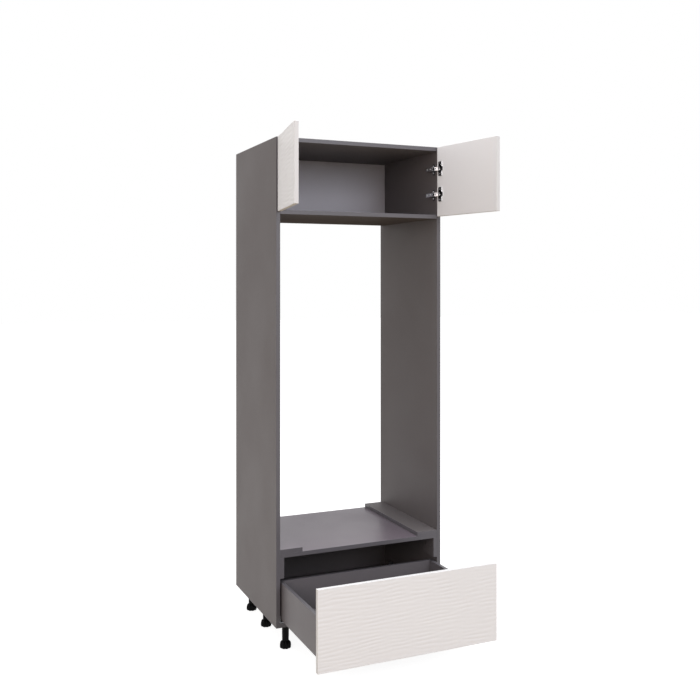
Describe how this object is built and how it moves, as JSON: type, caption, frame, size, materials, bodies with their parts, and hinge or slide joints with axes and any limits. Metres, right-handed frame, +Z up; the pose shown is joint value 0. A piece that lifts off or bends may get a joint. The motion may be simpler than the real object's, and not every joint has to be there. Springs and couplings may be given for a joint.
{
  "type": "tall oven housing unit",
  "caption": "Tall kitchen carcass with an open appliance niche, a pull-out drawer below, an upper cupboard behind hinged doors, and black levelling legs.",
  "frame": {"origin": "on the floor, under the middle of the footprint that the housing has with its doors and drawer standing open", "axes": "+Z up, +Y towards the rear, +X towards the right seen from the front"},
  "size_m": [0.9294, 1.075, 2.2],
  "materials": {
    "carcass_board": "satin grey melamine",
    "back_board": "satin grey melamine",
    "front_board": "smooth matt off-white",
    "drawer_board": "satin grey melamine",
    "bright_steel": "nickel plated",
    "dark_metal": "satin black",
    "black_plastic": "moulded matt black",
    "dowel_wood": "raw beech"
  },
  "bodies": {
    "case": {"left_side": "carcass_board", "right_side": "carcass_board", "top_panel": "carcass_board", "upper_shelf": "carcass_board", "oven_shelf": "carcass_board", "bottom_panel": "carcass_board", "left_batten": "carcass_board", "right_batten": "carcass_board", "left_strip": "carcass_board", "right_strip": "carcass_board", "upper_back": "back_board", "lower_back": "back_board", "cam_locks": "bright_steel", "cam_bolts": "bright_steel", "dowels": "dowel_wood", "board_screws": "bright_steel", "case_screws": "bright_steel", "wall_brackets": "bright_steel", "hinge_arms": "bright_steel", "hinge_arm_pins": "bright_steel", "mounting_plates": "dark_metal", "plate_screws": "bright_steel", "left_cabinet_rail": "dark_metal", "right_cabinet_rail": "dark_metal", "leg_sockets": "black_plastic", "legs": "black_plastic"},
    "drawer": {"drawer_front": "front_board", "drawer_left_side": "drawer_board", "drawer_right_side": "drawer_board", "drawer_box_front": "drawer_board", "drawer_back": "drawer_board", "drawer_bottom": "drawer_board", "drawer_box_screws": "bright_steel", "drawer_front_screws": "bright_steel", "locking_clips": "black_plastic", "clip_screws": "bright_steel", "left_drawer_rail": "dark_metal", "right_drawer_rail": "dark_metal"},
    "middle_rails": {"left_middle_rail": "bright_steel", "right_middle_rail": "bright_steel"},
    "lower_cages": {"lower_roller_cages": "black_plastic"},
    "upper_cages": {"upper_roller_cages": "black_plastic"},
    "left_door": {"left_door": "front_board", "left_hinge_cups": "dark_metal", "left_cup_screws": "bright_steel", "left_hinge_pins": "bright_steel"},
    "left_short_links": {"left_short_links": "bright_steel"},
    "left_long_links": {"left_long_links": "bright_steel"},
    "right_door": {"right_door": "front_board", "right_hinge_cups": "dark_metal", "right_cup_screws": "bright_steel", "right_hinge_pins": "bright_steel"},
    "right_short_links": {"right_short_links": "bright_steel"},
    "right_long_links": {"right_long_links": "bright_steel"},
    "foot_front_left": {"foot_front_left": "black_plastic"},
    "foot_front_right": {"foot_front_right": "black_plastic"},
    "foot_middle_left": {"foot_middle_left": "black_plastic"},
    "foot_middle_right": {"foot_middle_right": "black_plastic"},
    "foot_rear_left": {"foot_rear_left": "black_plastic"},
    "foot_rear_right": {"foot_rear_right": "black_plastic"}
  },
  "joints": [
    {"name": "drawer_slide", "type": "slide", "parent": "case", "child": "drawer", "axis": [0, -1, 0], "range_m": [-0.455, 0.045]},
    {"name": "middle_rail_slide", "type": "slide", "parent": "case", "child": "middle_rails", "axis": [0, -1, 0], "range_m": [-0.2275, 0.0225]},
    {"name": "lower_cage_slide", "type": "slide", "parent": "case", "child": "lower_cages", "axis": [0, -1, 0], "range_m": [-0.11375, 0.01125]},
    {"name": "upper_cage_slide", "type": "slide", "parent": "case", "child": "upper_cages", "axis": [0, -1, 0], "range_m": [-0.34125, 0.03375]},
    {"name": "left_short_link_turn", "type": "hinge", "parent": "case", "child": "left_short_links", "pos_m": [-0.37151, -0.07122, 2.0985], "axis": [0, 0, 1], "range_deg": [-22.41, 0]},
    {"name": "left_door_swing", "type": "hinge", "parent": "left_short_links", "child": "left_door", "pos_m": [-0.38748, -0.07917, 2.0985], "axis": [0, 0, 1], "range_deg": [0, 122.36]},
    {"name": "left_long_link_turn", "type": "hinge", "parent": "case", "child": "left_long_links", "pos_m": [-0.36448, -0.0713, 2.0985], "axis": [0, 0, 1], "range_deg": [-41.24, 0]},
    {"name": "right_short_link_turn", "type": "hinge", "parent": "case", "child": "right_short_links", "pos_m": [0.37151, -0.07122, 2.0985], "axis": [0, 0, 1], "range_deg": [0, 22.41]},
    {"name": "right_door_swing", "type": "hinge", "parent": "right_short_links", "child": "right_door", "pos_m": [0.38748, -0.07917, 2.0985], "axis": [0, 0, 1], "range_deg": [-122.36, 0]},
    {"name": "right_long_link_turn", "type": "hinge", "parent": "case", "child": "right_long_links", "pos_m": [0.36448, -0.0713, 2.0985], "axis": [0, 0, 1], "range_deg": [0, 41.24]},
    {"name": "foot_front_left_height", "type": "slide", "parent": "case", "child": "foot_front_left", "axis": [0, 0, -1], "range_m": [0, 0.02]},
    {"name": "foot_front_right_height", "type": "slide", "parent": "case", "child": "foot_front_right", "axis": [0, 0, -1], "range_m": [0, 0.02]},
    {"name": "foot_middle_left_height", "type": "slide", "parent": "case", "child": "foot_middle_left", "axis": [0, 0, -1], "range_m": [0, 0.02]},
    {"name": "foot_middle_right_height", "type": "slide", "parent": "case", "child": "foot_middle_right", "axis": [0, 0, -1], "range_m": [0, 0.02]},
    {"name": "foot_rear_left_height", "type": "slide", "parent": "case", "child": "foot_rear_left", "axis": [0, 0, -1], "range_m": [0, 0.02]},
    {"name": "foot_rear_right_height", "type": "slide", "parent": "case", "child": "foot_rear_right", "axis": [0, 0, -1], "range_m": [0, 0.02]}
  ],
  "couplings": [
    {"joint": "middle_rail_slide", "follows": "drawer_slide", "ratio": 0.5},
    {"joint": "lower_cage_slide", "follows": "drawer_slide", "ratio": 0.25},
    {"joint": "upper_cage_slide", "follows": "drawer_slide", "ratio": 0.75},
    {"joint": "left_short_link_turn", "follows": "left_door_swing", "ratio": -0.18271},
    {"joint": "left_long_link_turn", "follows": "left_door_swing", "ratio": -0.33664},
    {"joint": "right_short_link_turn", "follows": "right_door_swing", "ratio": -0.18271},
    {"joint": "right_long_link_turn", "follows": "right_door_swing", "ratio": -0.33664}
  ]
}
